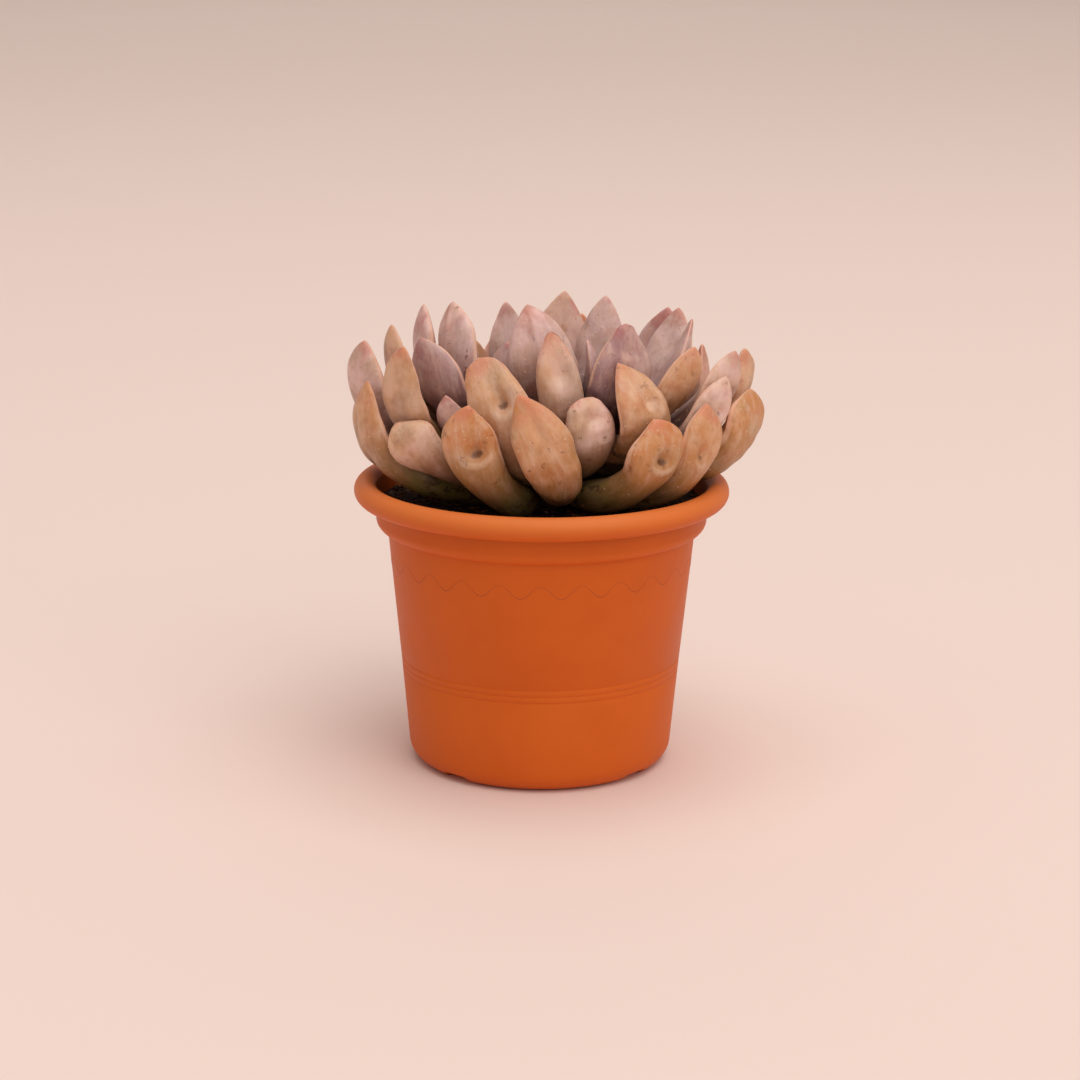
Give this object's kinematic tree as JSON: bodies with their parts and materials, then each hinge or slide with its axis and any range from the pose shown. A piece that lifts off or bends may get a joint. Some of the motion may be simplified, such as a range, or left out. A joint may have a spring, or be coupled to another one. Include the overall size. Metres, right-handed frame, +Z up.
{
  "type": "potted echeveria",
  "caption": "Succulent rosette of thick bent leaves with pitted backs, in soil, in a round terracotta-coloured plastic nursery pot.",
  "frame": {"origin": "middle of the pot's base, on the surface that it stands on", "axes": "+Z up along the pot's axis; the plant's pictured front faces -Y"},
  "size_m": [0.1316, 0.1198, 0.1508],
  "materials": {
    "pot_plastic": "moulded, satin",
    "potting_mix": "loose, matt",
    "old_leaf": "tan flesh with an orange tip and a powdery bloom",
    "young_leaf": "mauve flesh with a pink tip and a powdery bloom"
  },
  "bodies": {
    "root": {"pot": "pot_plastic", "soil": "potting_mix", "stem_with_bud": "young_leaf", "leaf_00": "old_leaf", "leaf_01": "old_leaf", "leaf_02": "old_leaf", "leaf_03": "old_leaf", "leaf_04": "old_leaf", "leaf_05": "old_leaf", "leaf_06": "old_leaf", "leaf_07": "old_leaf", "leaf_08": "old_leaf", "leaf_09": "old_leaf", "leaf_10": "old_leaf", "leaf_11": "old_leaf", "leaf_12": "old_leaf", "leaf_13": "old_leaf", "leaf_14": "old_leaf", "leaf_15": "old_leaf", "leaf_16": "old_leaf", "leaf_17": "old_leaf", "leaf_18": "old_leaf", "leaf_19": "old_leaf", "leaf_20": "young_leaf", "leaf_21": "young_leaf", "leaf_22": "young_leaf", "leaf_23": "young_leaf", "leaf_24": "young_leaf", "leaf_25": "young_leaf", "leaf_26": "young_leaf", "leaf_27": "young_leaf", "leaf_28": "young_leaf", "leaf_29": "young_leaf", "leaf_30": "young_leaf", "leaf_31": "young_leaf", "leaf_32": "young_leaf", "leaf_33": "young_leaf", "leaf_34": "young_leaf", "leaf_35": "young_leaf", "leaf_36": "young_leaf", "leaf_37": "young_leaf", "leaf_38": "young_leaf", "leaf_39": "young_leaf", "leaf_40": "young_leaf", "leaf_41": "young_leaf"}
  },
  "joints": []
}
